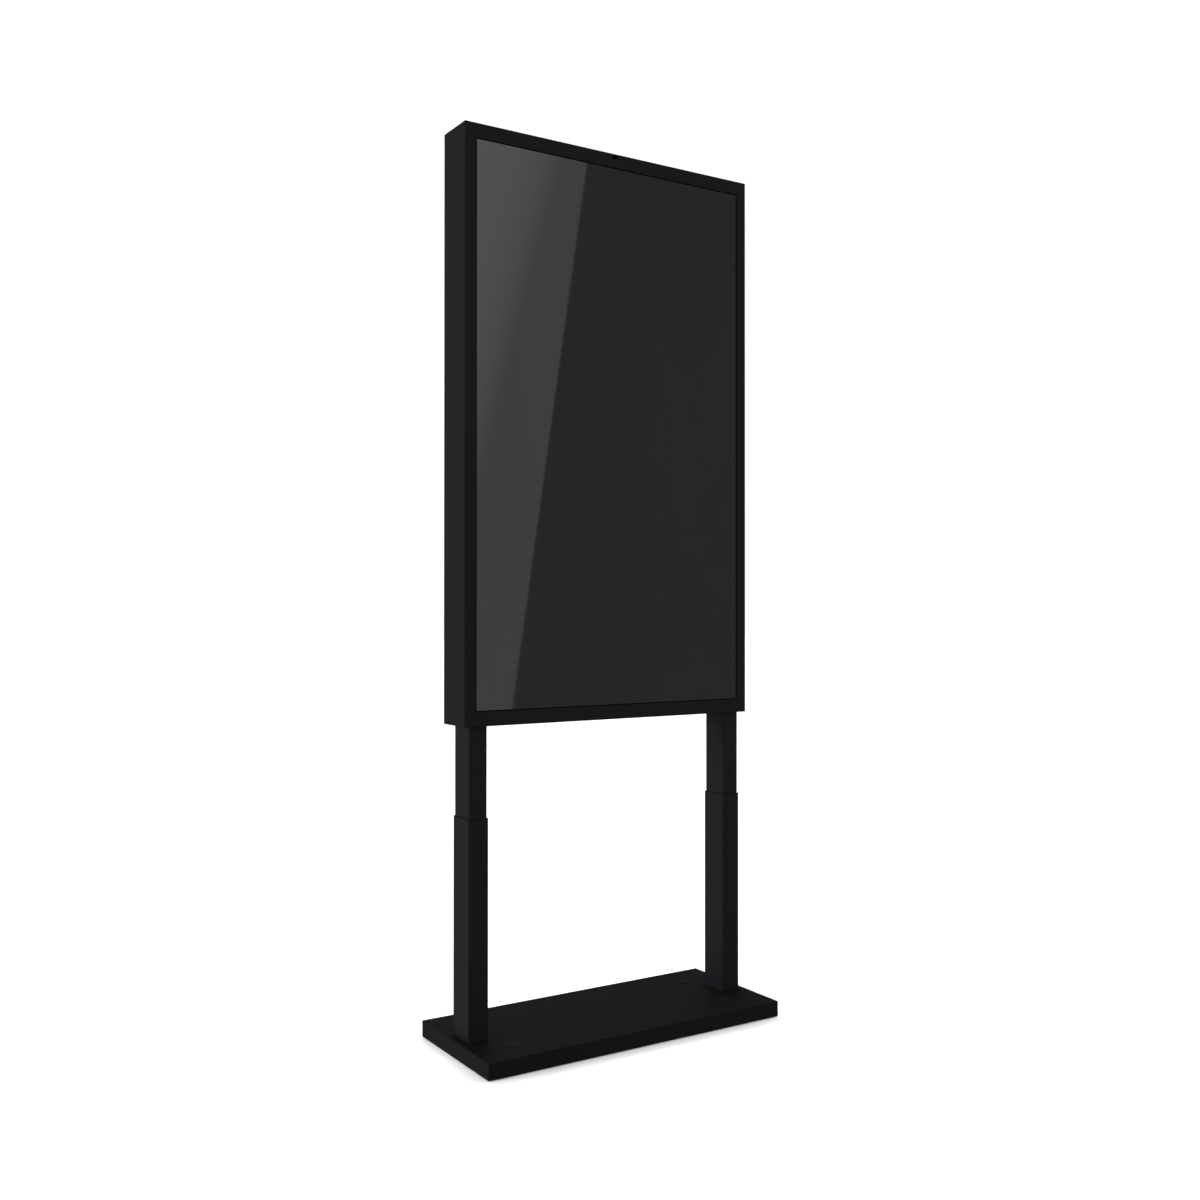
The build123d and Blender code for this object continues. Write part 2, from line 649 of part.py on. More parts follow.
def lead_clip(name, run, face):
    """A saddle screwed to a face, with a round passage for the middle of one run of a lead."""
    start, end = (Vector(*p) for p in LEADS[name][run : run + 2])
    middle = (start + end) * 0.5
    along = (end - start).normalized()
    place = Plane(origin=middle, x_dir=along.cross(Vector(0, 1, 0)), z_dir=along)
    rise = middle.Y - face
    saddle = Cylinder(LEAD_RADIUS + 1.9, 9) + Pos(0, -rise / 2 - 1, 0) * Box(8.8, rise + 2, 9)
    saddle += Pos(7, 0.75 - rise, 0) * Box(12, 1.5, 9)
    saddle += Pos(9, 1.5 - rise, 0) * Rot(90, 0, 0) * Cylinder(3.2, 3.0)
    saddle -= Cylinder(LEAD_RADIUS + 0.5, 12)
    centre = (middle.X, middle.Z)
    below = block((centre[0] - 40, centre[0] + 40), (face - 30, face), (centre[1] - 40, centre[1] + 40))
    return place * saddle - below


def build_equipment():
    nodes["media_player"] = media_player()
    nodes["power_supply"] = power_supply()
    nodes["lift_controller"] = lift_controller()
    nodes["wiring"] = group([lead(points) for points in LEADS.values()])
    nodes["lead_clips"] = group([lead_clip(*clip) for clip in CLIPS])


# ---------------------------------------------------------------- sensor, inlet and lift switch
def sensor_window():
    """Dark window over the ambient-light sensor, with its board behind."""
    slot = extrude(SlotOverall(12.6, 9.0), 1.7)
    window = Pos(0, BEZEL_BACK, SENSOR_Z) * Rot(90, 0, 0) * slot
    body = block((-14, 14), (BEZEL_BACK, BEZEL_BACK + 8), (SENSOR_Z - 5.5, SENSOR_Z + 5.5))
    return window + body


ROCKER = (15.5, 708.5)  # x offset from the inlet's middle, and height of the pivot
ROCKER_TILT = 7.0


def power_inlet():
    """Mains inlet with three pins, and the frame of the power switch, facing down."""
    x, y = INLET
    face = HEAD_Z - 2.5
    plate = block((x - 27, x + 27), (y - 16.5, y + 16.5), (face, HEAD_Z))
    plate = fillet(plate.edges().filter_by(Axis.Z), 3)
    body = plate + block((x - 23.5, x + 23.5), (y - 13.5, y + 13.5), (HEAD_Z, 733))
    socket = block((x - 20, x + 4), (y - 8.5, y + 8.5), (face - 1, face + 16))
    body -= socket
    for px, py in ((-15, 2), (-8, -3.5), (-1, 2)):
        body += block((x + px - 1, x + px + 1), (y + py - 2, y + py + 2), (face + 5, face + 16))
    body -= block((x + 9, x + 22), (y - 10.6, y + 10.6), (face - 1, face + 13))
    return body - rocker_pivot(1.2 + RUNNING_GAP, 8.0)


def rocker_pivot(radius, half):
    """A rod along X on the rocker's axis."""
    return Pos(INLET[0] + ROCKER[0], INLET[1], ROCKER[1]) * Rot(0, 90, 0) * Cylinder(radius, 2 * half)


def power_rocker():
    x, y = INLET
    shape = Box(12.4, 18.6, 7.0)
    shape = fillet(shape.edges().filter_by(Axis.X), 1.0)
    tilted = Pos(x + ROCKER[0], y, ROCKER[1]) * Rot(ROCKER_TILT, 0, 0) * Pos(0, 0, -2) * shape
    return tilted + rocker_pivot(1.2, 7.4)


def lift_switch():
    """Plate and contact block of the up and down buttons on the right-hand wall."""
    outside = HEAD_W / 2
    height = BUTTON_STEP + BUTTON[1] / 2 + 7
    half = BUTTON[0] / 2 + 6
    face_y = (SWITCH_Y - half, SWITCH_Y + half)
    faceplate = block((outside, outside + 1.5), face_y, (SWITCH_Z - height, SWITCH_Z + height))
    faceplate = fillet(faceplate.edges().filter_by(Axis.X), 4)
    body = faceplate + switch_body((WALL_X - 17, outside), 0)
    for sign in (-1, 1):
        middle = SWITCH_Z + sign * BUTTON_STEP
        half_y, half_z = BUTTON[0] / 2 + 0.25, BUTTON[1] / 2 + 0.25
        well = ((SWITCH_Y - half_y, SWITCH_Y + half_y), (middle - half_z, middle + half_z))
        body -= block((BUTTON_OUT - 13, outside + 3), *well)
    return body


def lift_button(sign):
    middle = SWITCH_Z + sign * BUTTON_STEP
    half_y, half_z = BUTTON[0] / 2, BUTTON[1] / 2
    key_y = (SWITCH_Y - half_y, SWITCH_Y + half_y)
    key = block((BUTTON_OUT - 11.5, BUTTON_OUT), key_y, (middle - half_z, middle + half_z))
    key = fillet(key.faces().sort_by(Axis.X)[-1].edges(), 0.8)
    arrow = Plane(origin=(BUTTON_OUT, SWITCH_Y, middle), x_dir=(0, 1, 0), z_dir=(1, 0, 0))
    tip = sign * 3.0
    return key - extrude(arrow * Polygon((-3.5, -tip), (3.5, -tip), (0, tip), align=None), 0.3, both=True)


def build_controls():
    nodes["sensor_window"] = sensor_window()
    nodes["power_inlet"] = power_inlet()
    nodes["power_rocker"] = power_rocker()
    nodes["lift_switch"] = lift_switch()
    nodes["button_up"] = lift_button(1)
    nodes["button_down"] = lift_button(-1)


# ---------------------------------------------------------------- rear door
DOOR_X = (-WALL_X + DOOR_GAP, HINGE_X)
DOOR_Z = (HEAD_Z + SHEET + DOOR_GAP, HEAD_TOP - SHEET - DOOR_GAP)
GRILLE_RADIUS = 54.0


def door_stiffeners():
    """Strips welded inside the door's edges, left out where the lock cams swing."""
    half, y = 350.0, (DOOR_SEAT - 10, DOOR_SEAT)
    low, high = HEAD_MID - 620, HEAD_MID + 620
    strips = [block((-half, half), y, (z, z + 2)) for z in (low, high - 2)]
    strips.append(block((half - 2, half), y, (low + 2, high - 2)))
    ends = [low + 2]
    for z in LOCK_Z.values():
        ends += [z - 32, z + 32]
    ends.append(high - 2)
    return strips + [block((-half, 2 - half), y, pair) for pair in zip(ends[::2], ends[1::2])]


def door_panel():
    """Sheet door with louvre slots low down, a slotted grille at the fan and stiffened edges."""
    sheet = block(DOOR_X, (DOOR_SEAT, HEAD_BACK), DOOR_Z)
    through = (DOOR_SEAT - 1, HEAD_BACK + 1)
    cuts = [rod_y(9.6, through, LOCK_X, z) for z in LOCK_Z.values()]
    for row in range(2):
        for i in range(-11, 12):
            x, z = i * 22.0, 800 + row * 75
            cuts.append(block((x - 2.5, x + 2.5), through, (z - 30, z + 30)))
    for i in range(-5, 6):
        z = i * 9.5
        half = math.sqrt(GRILLE_RADIUS**2 - z**2)
        cuts.append(block((-half, -4), through, (FAN_Z + z - 2.4, FAN_Z + z + 2.4)))
        cuts.append(block((4, half), through, (FAN_Z + z - 2.4, FAN_Z + z + 2.4)))
    for x, z in corners(FAN_SIZE / 2 - 7.5, FAN_SIZE / 2 - 7.5):
        cuts.append(rod_y(2.2, through, x, FAN_Z + z))
    return group([sheet - cuts] + door_stiffeners())


def housing_hinge(z):
    """Fixed half of a lift-off hinge: knuckle, pin and the arm welded to the wall."""
    knuckle = rod(KNUCKLE_RADIUS, (z - HINGE_HALF, z - 0.5), HINGE_X, HINGE_Y)
    pin = rod(2.0, (z - 0.5, z + HINGE_HALF - 2), HINGE_X, HINGE_Y)
    arm = block((HINGE_X + 0.4, WALL_X), (DOOR_SEAT, HINGE_Y), (z - HINGE_HALF, z - 0.5))
    return knuckle + arm + pin


def door_hinge(z):
    """Moving half of a lift-off hinge, with its leaf on the door's outer face."""
    span = (z + 0.5, z + HINGE_HALF)
    knuckle = rod(KNUCKLE_RADIUS, span, HINGE_X, HINGE_Y)
    arm = block((HINGE_X - 3.2, HINGE_X), (HEAD_BACK, HINGE_Y), span)
    leaf = block((HINGE_X - 28, HINGE_X), (HEAD_BACK, HEAD_BACK + 2), span)
    return knuckle + arm + leaf - rod(2.0 + RUNNING_GAP, (z, z + HINGE_HALF + 1), HINGE_X, HINGE_Y)


LOCK_BARREL_Y = (DOOR_SEAT - 4.5, HEAD_BACK)
LOCK_CORE_RADIUS = 6.0


def lock_barrel(z):
    barrel = rod_y(9.5, LOCK_BARREL_Y, LOCK_X, z) + rod_y(12.0, (HEAD_BACK, HEAD_BACK + 2), LOCK_X, z)
    return barrel - rod_y(LOCK_CORE_RADIUS + RUNNING_GAP, (DOOR_SEAT - 10, HEAD_BACK + 5), LOCK_X, z)


def lock_cam(z):
    """Keyed core with the cam that swings behind the housing's return; drawn unlocked, hanging down."""
    cam_y = (LOCK_BARREL_Y[0] - 3.2, LOCK_BARREL_Y[0] - 0.2)
    core = rod_y(LOCK_CORE_RADIUS, (cam_y[1], HEAD_BACK + 2.4), LOCK_X, z)
    core -= block((LOCK_X - 0.6, LOCK_X + 0.6), (HEAD_BACK - 2, HEAD_BACK + 3), (z - 3.5, z + 3.5))
    cam = block((LOCK_X - 7, LOCK_X + 7), cam_y, (z - 26, z))
    cam = fillet(cam.edges().filter_by(Axis.Y), 3)
    return core + cam + rod_y(7.0, cam_y, LOCK_X, z)


FAN_Y = (DOOR_SEAT - FAN_DEPTH, DOOR_SEAT)
FAN_BORE = 57.5


def fan_housing():
    """Square fan frame on the door, with the spider that carries the rotor's shaft."""
    half = FAN_SIZE / 2
    frame = block((-half, half), FAN_Y, (FAN_Z - half, FAN_Z + half))
    frame = fillet(frame.edges().filter_by(Axis.Y), 5)
    frame -= rod_y(FAN_BORE, (FAN_Y[0] - 1, FAN_Y[1] + 1), 0, FAN_Z)
    for x, z in corners(half - 7.5, half - 7.5):
        frame -= rod_y(2.2, (FAN_Y[0] - 1, FAN_Y[1] + 1), x, FAN_Z + z)
    spider = rod_y(21.0, (FAN_Y[0], FAN_Y[0] + 3), 0, FAN_Z)
    spider += rod_y(2.0, (FAN_Y[0] + 3, FAN_Y[0] + 17), 0, FAN_Z)
    for i in range(4):
        arm = block((15, FAN_BORE + 1), (FAN_Y[0], FAN_Y[0] + 2.5), (-2.5, 2.5))
        spider += Pos(0, 0, FAN_Z) * Rot(0, 45 + 90 * i, 0) * arm
    return frame + spider


def fan_rotor():
    """Hub with seven pitched blades."""
    span = (FAN_Y[0] + 4, FAN_Y[1] - 2)
    rotor = rod_y(20.0, span, 0, 0)
    rotor = fillet(rotor.edges().sort_by(Axis.Y)[-1], 2)
    for i in range(7):
        blade = Pos(36.5, sum(span) / 2, 0) * Rot(-38, 0, 0) * Box(37, 1.6, 20)
        rotor += Rot(0, i * 360 / 7, 0) * blade
    rotor -= rod_y(2.0 + RUNNING_GAP, (span[0] - 1, FAN_Y[0] + 18), 0, 0)
    return Pos(0, 0, FAN_Z) * rotor


def fan_screws():
    """Dome-head screws from the door's outer face, each with a nut behind the fan's frame."""
    pieces = []
    for x, z in corners(FAN_SIZE / 2 - 7.5, FAN_SIZE / 2 - 7.5):
        head = rod_y(4.0, (HEAD_BACK, HEAD_BACK + 2.4), x, FAN_Z + z)
        head = fillet(head.edges().sort_by(Axis.Y)[-1], 1.5)
        socket = Pos(x, HEAD_BACK + 1, FAN_Z + z) * Rot(-90, 0, 0) * extrude(RegularPolygon(1.6, 6), 3)
        pieces.append(head + rod_y(2.0, (FAN_Y[0] - 4, HEAD_BACK), x, FAN_Z + z) - socket)
        nut = Pos(x, FAN_Y[0], FAN_Z + z) * Rot(90, 0, 0) * extrude(RegularPolygon(4.0, 6), 3.2)
        pieces.append(nut - rod_y(2.05, (FAN_Y[0] - 5, FAN_Y[0] + 1), x, FAN_Z + z))
    return group(pieces)


def build_door():
    nodes["door_panel"] = door_panel()
    nodes["door_hinges"] = group([door_hinge(z) for z in HINGE_Z])
    nodes["housing_hinges"] = group([housing_hinge(z) for z in HINGE_Z])
    nodes["lock_barrels"] = group([lock_barrel(z) for z in LOCK_Z.values()])
    for name, z in LOCK_Z.items():
        nodes[f"lock_cam_{name}"] = lock_cam(z)
    nodes["fan_housing"] = fan_housing()
    nodes["fan_rotor"] = fan_rotor()
    nodes["fan_screws"] = fan_screws()


build_base()
build_columns()
build_screen()
build_equipment()
build_controls()
build_door()

os.makedirs("parts", exist_ok=True)
for name, shape in nodes.items():
    export_step(shape, f"parts/{name}.step")
print(len(nodes), "nodes")
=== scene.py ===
"""Looks, light and camera for the touchscreen kiosk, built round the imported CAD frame.

Metres, +Z up, origin on the floor under the middle of the base. The screen faces -Y and +X is to the
viewer's right.
"""

import json
import math

import bmesh
import bpy
from mathutils import Matrix, Vector


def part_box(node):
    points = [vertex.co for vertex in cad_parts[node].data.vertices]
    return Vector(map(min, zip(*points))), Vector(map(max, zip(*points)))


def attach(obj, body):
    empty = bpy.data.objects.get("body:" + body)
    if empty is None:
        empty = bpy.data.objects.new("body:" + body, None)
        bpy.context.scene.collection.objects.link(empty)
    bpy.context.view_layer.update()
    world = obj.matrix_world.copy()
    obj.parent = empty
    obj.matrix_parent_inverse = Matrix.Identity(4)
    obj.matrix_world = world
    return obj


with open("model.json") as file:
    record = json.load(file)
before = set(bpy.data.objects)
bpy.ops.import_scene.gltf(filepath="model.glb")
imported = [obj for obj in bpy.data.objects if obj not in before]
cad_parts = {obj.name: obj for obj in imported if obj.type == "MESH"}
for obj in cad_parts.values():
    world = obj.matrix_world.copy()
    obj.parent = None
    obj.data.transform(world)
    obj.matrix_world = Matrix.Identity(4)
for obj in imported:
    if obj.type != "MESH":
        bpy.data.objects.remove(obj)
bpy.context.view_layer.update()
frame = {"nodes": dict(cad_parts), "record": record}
nodes = frame["nodes"]


def add_object(name, data):
    made = bpy.data.objects.new(name, data)
    bpy.context.scene.collection.objects.link(made)
    return made


# ---------------------------------------------------------------- camera, fitted to the known corners
CAMERA_PLACE = (-1.5434, -2.5648, 0.9632)
CAMERA_YAW = math.radians(34.28)
CAMERA_PITCH = math.radians(0.323)
CAMERA_LENS = 39.14
CAMERA_SENSOR = 36.0
CAMERA_SHIFT = (-0.0653, -0.0017)
CAMERA_CLIP = (0.05, 100.0)


def make_camera():
    data = bpy.data.cameras.new("camera")
    data.sensor_width = CAMERA_SENSOR
    data.lens = CAMERA_LENS
    data.shift_x, data.shift_y = CAMERA_SHIFT
    data.clip_start, data.clip_end = CAMERA_CLIP
    camera = add_object("camera", data)
    camera.location = CAMERA_PLACE
    camera.rotation_euler = (math.radians(90) + CAMERA_PITCH, 0.0, -CAMERA_YAW)
    bpy.context.scene.camera = camera


make_camera()


# ---------------------------------------------------------------- shader nodes
def new_material(name):
    material = bpy.data.materials.new(name)
    material.use_nodes = True
    tree = material.node_tree
    shader = next(n for n in tree.nodes if n.type == "BSDF_PRINCIPLED")
    return material, tree, shader


def object_space(tree, stretch=(1.0, 1.0, 1.0)):
    """Object coordinates, stretched so that a pattern can run along one axis."""
    coordinates = tree.nodes.new("ShaderNodeTexCoord")
    mapping = tree.nodes.new("ShaderNodeMapping")
    mapping.inputs["Scale"].default_value = stretch
    tree.links.new(coordinates.outputs["Object"], mapping.inputs["Vector"])
    return mapping.outputs["Vector"]


def noise(tree, vector, scale, detail=3.0, roughness=0.55):
    node = tree.nodes.new("ShaderNodeTexNoise")
    node.inputs["Scale"].default_value = scale
    node.inputs["Detail"].default_value = detail
    node.inputs["Roughness"].default_value = roughness
    tree.links.new(vector, node.inputs["Vector"])
    return node.outputs["Fac"]


def arithmetic(tree, operation, *values):
    """A Math node. Each value is a number, or the output of another node."""
    node = tree.nodes.new("ShaderNodeMath")
    node.operation = operation
    for socket, value in zip(node.inputs, values):
        if isinstance(value, float):
            socket.default_value = value
        else:
            tree.links.new(value, socket)
    return node.outputs[0]


def spread(tree, value, low, high, start=0.3, end=0.7):
    """Maps values between start and end, the middle of a noise unless stated, to a range."""
    node = tree.nodes.new("ShaderNodeMapRange")
    node.inputs["From Min"].default_value = start
    node.inputs["From Max"].default_value = end
    node.inputs["To Min"].default_value = low
    node.inputs["To Max"].default_value = high
    tree.links.new(value, node.inputs["Value"])
    return node.outputs["Result"]


def two_tone(tree, value, dark, light, start=0.35, end=0.65):
    ramp = tree.nodes.new("ShaderNodeValToRGB")
    ramp.color_ramp.elements[0].position = start
    ramp.color_ramp.elements[0].color = (*dark, 1.0)
    ramp.color_ramp.elements[1].position = end
    ramp.color_ramp.elements[1].color = (*light, 1.0)
    tree.links.new(value, ramp.inputs["Fac"])
    return ramp.outputs["Color"]


def bump(tree, shader, height, distance):
    node = tree.nodes.new("ShaderNodeBump")
    node.inputs["Distance"].default_value = distance
    node.inputs["Strength"].default_value = 1.0
    tree.links.new(height, node.inputs["Height"])
    tree.links.new(node.outputs["Normal"], shader.inputs["Normal"])


# ---------------------------------------------------------------- materials
def surface(name, colour, tone, rough, patch, grain, relief, stretch=(1.0, 1.0, 1.0), **fixed):
    """A finish with drifting tone and gloss and a fine grain.

    tone is the colour's relative spread, rough the range of roughness, patch and grain the scales of the
    drift and of the grain, relief the grain's depth and stretch its direction. fixed sets other sockets.
    """
    material, tree, shader = new_material(name)
    drift = noise(tree, object_space(tree), patch, detail=5.0)
    fine = noise(tree, object_space(tree, stretch), grain, detail=2.0)
    dark = tuple(c * (1 - tone) for c in colour)
    light = tuple(min(c * (1 + tone), 1.0) for c in colour)
    mean = arithmetic(tree, "MULTIPLY_ADD", drift, 0.5, arithmetic(tree, "MULTIPLY", fine, 0.5))
    tree.links.new(two_tone(tree, mean, dark, light), shader.inputs["Base Color"])
    tree.links.new(spread(tree, mean, *rough), shader.inputs["Roughness"])
    bump(tree, shader, fine, relief)
    for socket, value in fixed.items():
        shader.inputs[socket.replace("_", " ")].default_value = value
    return material


SPANGLE_SCALE = 110.0
SPANGLE_DARK = (0.36, 0.37, 0.385)
SPANGLE_LIGHT = (0.52, 0.53, 0.54)
SPANGLE_ROUGH = (0.36, 0.52)
SPANGLE_RIPPLE = 160.0
SPANGLE_RELIEF = 0.00004
SPANGLE_METALLIC = 0.85


def galvanised(name):
    """Zinc spangle: flat crystals of slightly different grey."""
    material, tree, shader = new_material(name)
    vector = object_space(tree)
    cells = tree.nodes.new("ShaderNodeTexVoronoi")
    cells.inputs["Scale"].default_value = SPANGLE_SCALE
    tree.links.new(vector, cells.inputs["Vector"])
    draws = tree.nodes.new("ShaderNodeSeparateColor")
    tree.links.new(cells.outputs["Color"], draws.inputs["Color"])
    tone = two_tone(tree, draws.outputs["Red"], SPANGLE_DARK, SPANGLE_LIGHT, 0.0, 1.0)
    tree.links.new(tone, shader.inputs["Base Color"])
    rough = spread(tree, draws.outputs["Green"], *SPANGLE_ROUGH, 0.0, 1.0)
    tree.links.new(rough, shader.inputs["Roughness"])
    bump(tree, shader, noise(tree, vector, SPANGLE_RIPPLE), SPANGLE_RELIEF)
    shader.inputs["Metallic"].default_value = SPANGLE_METALLIC
    return material


# Base colour of the glass: the dark display beneath it, raised by a painted reflection of the room. The two
# tones follow faint smears.
GLASS_DARK = (0.0160, 0.0165, 0.0184)
GLASS_LIGHT = (0.0178, 0.0184, 0.0207)
GLASS_ROUGH = (0.015, 0.035)
GLASS_IOR = 1.5
SMEAR_STRETCH = (1.0, 1.0, 0.35)
SMEAR_SCALE = 5.0


def cover_glass(name):
    """Bonded cover glass over a dark display: clear gloss with faint smears. Its base colour is the dark
    display beneath, raised by a painted reflection of the room.
    """
    material, tree, shader = new_material(name)
    smear = noise(tree, object_space(tree, SMEAR_STRETCH), SMEAR_SCALE, detail=6.0, roughness=0.6)
    tree.links.new(spread(tree, smear, *GLASS_ROUGH), shader.inputs["Roughness"])
    tree.links.new(two_tone(tree, smear, GLASS_DARK, GLASS_LIGHT), shader.inputs["Base Color"])
    shader.inputs["IOR"].default_value = GLASS_IOR
    return material


BLACK = (0.0060, 0.0065, 0.0078)
BASE_BLACK = (0.0044, 0.0050, 0.0062)
SURFACES = {
    "black_powder_coat": dict(
        colour=BLACK, tone=0.14, rough=(0.5, 0.56), patch=3.0, grain=1100.0, relief=0.00004,
        Specular_IOR_Level=0.3,
    ),
    "base_black": dict(
        colour=BASE_BLACK, tone=0.14, rough=(0.5, 0.56), patch=3.0, grain=1100.0, relief=0.00004,
        Specular_IOR_Level=0.25,
    ),
    "column_black": dict(
        colour=BLACK, tone=0.14, rough=(0.42, 0.5), patch=4.0, grain=1500.0, relief=0.00003,
        stretch=(1, 1, 0.04), Specular_IOR_Level=0.35,
    ),
    "ballast_steel": dict(
        colour=(0.03, 0.03, 0.032), tone=0.3, rough=(0.5, 0.7), patch=14.0, grain=500.0, relief=0.0001,
        Metallic=0.2,
    ),
    "zinc_steel": dict(
        colour=(0.45, 0.46, 0.47), tone=0.15, rough=(0.28, 0.4), patch=60.0, grain=1200.0, relief=0.00002,
        Metallic=0.9,
    ),
    "glide_plastic": dict(
        colour=(0.0055, 0.006, 0.0066), tone=0.15, rough=(0.5, 0.6), patch=20.0, grain=1600.0,
        relief=0.00003, Specular_IOR_Level=0.2,
    ),
    "pad_rubber": dict(
        colour=(0.012, 0.012, 0.012), tone=0.2, rough=(0.7, 0.85), patch=30.0, grain=1200.0, relief=0.00005,
    ),
    "plug_plastic": dict(
        colour=(0.0062, 0.0068, 0.0078), tone=0.15, rough=(0.45, 0.52), patch=40.0, grain=1800.0,
        relief=0.00002, Specular_IOR_Level=0.3,
    ),
    "spindle_steel": dict(
        colour=(0.42, 0.42, 0.42), tone=0.2, rough=(0.2, 0.35), patch=40.0, grain=700.0, relief=0.00004,
        stretch=(0.1, 0.1, 1), Metallic=0.9,
    ),
    "nut_acetal": dict(
        colour=(0.62, 0.6, 0.54), tone=0.08, rough=(0.45, 0.55), patch=30.0, grain=900.0, relief=0.00003,
    ),
    "motor_steel": dict(
        colour=(0.045, 0.045, 0.05), tone=0.2, rough=(0.35, 0.5), patch=25.0, grain=900.0, relief=0.00003,
        Metallic=0.5,
    ),
    "chassis_steel": dict(
        colour=(0.2, 0.205, 0.21), tone=0.12, rough=(0.45, 0.6), patch=9.0, grain=700.0, relief=0.00004,
        Metallic=0.6,
    ),
    "gasket_rubber": dict(
        colour=(0.0012, 0.0012, 0.0013), tone=0.2, rough=(0.75, 0.9), patch=30.0, grain=1500.0,
        relief=0.00003, Specular_IOR_Level=0.05,
    ),
    "lcd_front": dict(
        colour=(0.012, 0.012, 0.013), tone=0.1, rough=(0.3, 0.35), patch=10.0, grain=2500.0, relief=0.00001,
    ),
    "player_aluminium": dict(
        colour=(0.035, 0.036, 0.04), tone=0.15, rough=(0.35, 0.5), patch=20.0, grain=1500.0, relief=0.00003,
        Metallic=0.6,
    ),
    "supply_aluminium": dict(
        colour=(0.5, 0.51, 0.52), tone=0.1, rough=(0.3, 0.42), patch=18.0, grain=900.0, relief=0.00003,
        stretch=(1, 1, 0.1), Metallic=0.9,
    ),
    "controller_plastic": dict(
        colour=(0.025, 0.025, 0.027), tone=0.15, rough=(0.45, 0.6), patch=25.0, grain=1100.0, relief=0.00006,
    ),
    "lead_rubber": dict(
        colour=(0.01, 0.01, 0.01), tone=0.2, rough=(0.4, 0.55), patch=40.0, grain=1500.0, relief=0.00002,
    ),
    "sensor_plastic": dict(
        colour=(0.0004, 0.0004, 0.0005), tone=0.15, rough=(0.4, 0.5), patch=80.0, grain=2500.0,
        relief=0.00001, Specular_IOR_Level=0.03,
    ),
    "lamp_lens": dict(
        colour=(0.03, 0.2, 0.06), tone=0.1, rough=(0.08, 0.15), patch=80.0, grain=2500.0, relief=0.00001,
        Coat_Weight=0.5,
    ),
    "inlet_plastic": dict(
        colour=(0.016, 0.016, 0.017), tone=0.15, rough=(0.4, 0.5), patch=50.0, grain=1500.0, relief=0.00003,
    ),
    "rocker_plastic": dict(
        colour=(0.012, 0.012, 0.013), tone=0.15, rough=(0.2, 0.3), patch=60.0, grain=1800.0, relief=0.00002,
    ),
    "button_plastic": dict(
        colour=(0.02, 0.02, 0.022), tone=0.15, rough=(0.4, 0.5), patch=60.0, grain=1800.0, relief=0.00003,
    ),
    "arrow_paint": dict(
        colour=(0.55, 0.55, 0.54), tone=0.08, rough=(0.45, 0.55), patch=60.0, grain=1800.0, relief=0.00001,
    ),
    "lock_chrome": dict(
        colour=(0.62, 0.62, 0.61), tone=0.08, rough=(0.2, 0.3), patch=80.0, grain=1500.0, relief=0.00001,
        Metallic=1.0,
    ),
    "fan_plastic": dict(
        colour=(0.014, 0.014, 0.015), tone=0.15, rough=(0.4, 0.5), patch=50.0, grain=1300.0, relief=0.00003,
    ),
}
MATERIALS = {name: surface(name, **finish) for name, finish in SURFACES.items()}
MATERIALS["galvanised_sheet"] = galvanised("galvanised_sheet")
MATERIALS["cover_glass"] = cover_glass("cover_glass")

# Nodes whose finish differs from the rest of their slot
OWN_FINISH = {
    "base_cover": "base_black",
    "crossbars": "zinc_steel",
    "vesa_rail_left": "zinc_steel",
    "vesa_rail_right": "zinc_steel",
    "lcd_chassis": "chassis_steel",
}


def dress_frame():
    """Gives every CAD node the material of its slot in the record, or its own."""
    for part in frame["record"]["subparts"]:
        mesh = nodes[part["node"]].data
        mesh.materials.clear()
        mesh.materials.append(MATERIALS[OWN_FINISH.get(part["node"], part["material_slot"])])


dress_frame()


# ---------------------------------------------------------------- mesh code for the detail pieces
Z_TO_Y = Matrix.Rotation(math.radians(-90), 4, "X")
Z_TO_X = Matrix.Rotation(math.radians(90), 4, "Y")
SMOOTH_ANGLE = math.radians(35)
MERGE_DISTANCE = 1e-7
HOOP_SIDES = 48
WIRE_SIDES = 8


def make_piece(name, shape, finish, body="head"):
    """Turns a bmesh into an object that rides on a body."""
    bmesh.ops.remove_doubles(shape, verts=shape.verts, dist=MERGE_DISTANCE)
    bmesh.ops.recalc_face_normals(shape, faces=shape.faces)
    for edge in shape.edges:
        edge.smooth = len(edge.link_faces) == 2 and edge.calc_face_angle(0.0) < SMOOTH_ANGLE
    for face in shape.faces:
        face.smooth = True
    mesh = bpy.data.meshes.new(name)
    shape.to_mesh(mesh)
    shape.free()
    mesh.materials.append(MATERIALS[finish])
    piece = add_object(name, mesh)
    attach(piece, body)


def circle(sides):
    """Evenly spaced angles."""
    return [2 * math.pi * i / sides for i in range(sides)]


def bridge(shape, rows, closed=True):
    """Faces between each row of vertices and the next. A row of one vertex closes an end."""
    for low, high in zip(rows, rows[1:]):
        count = max(len(low), len(high))
        for i in range(count if closed else count - 1):
            j = (i + 1) % count
            corners = [low[i % len(low)], low[j % len(low)], high[j % len(high)], high[i % len(high)]]
            shape.faces.new(list(dict.fromkeys(corners)))


def lathe(shape, profile, place, turn=Matrix.Identity(4), sides=24):
    """Revolves (radius, height) pairs about Z, then turns and places the result.

    A radius of 0 closes an end.
    """
    move = Matrix.Translation(place) @ turn
    rings = []
    for radius, height in profile:
        angles = circle(sides) if radius else [0.0]
        points = [Vector((radius * math.cos(a), radius * math.sin(a), height)) for a in angles]
        rings.append([shape.verts.new(move @ point) for point in points])
    bridge(shape, rings)


def soft_block(shape, matrix, radius, segments=3):
    """A unit cube placed by a matrix, with its edges rounded over."""
    made = bmesh.ops.create_cube(shape, size=1.0, matrix=matrix)
    edges = list(dict.fromkeys(edge for vert in made["verts"] for edge in vert.link_edges))
    bmesh.ops.bevel(shape, geom=edges, offset=radius, segments=segments, profile=0.5, affect="EDGES")


def soft_box(shape, low, high, radius):
    """A box from corner to corner, with its edges rounded over."""
    size = Vector(high) - Vector(low)
    middle = (Vector(high) + Vector(low)) / 2
    soft_block(shape, Matrix.Translation(middle) @ Matrix.Diagonal((*size, 1)), radius)


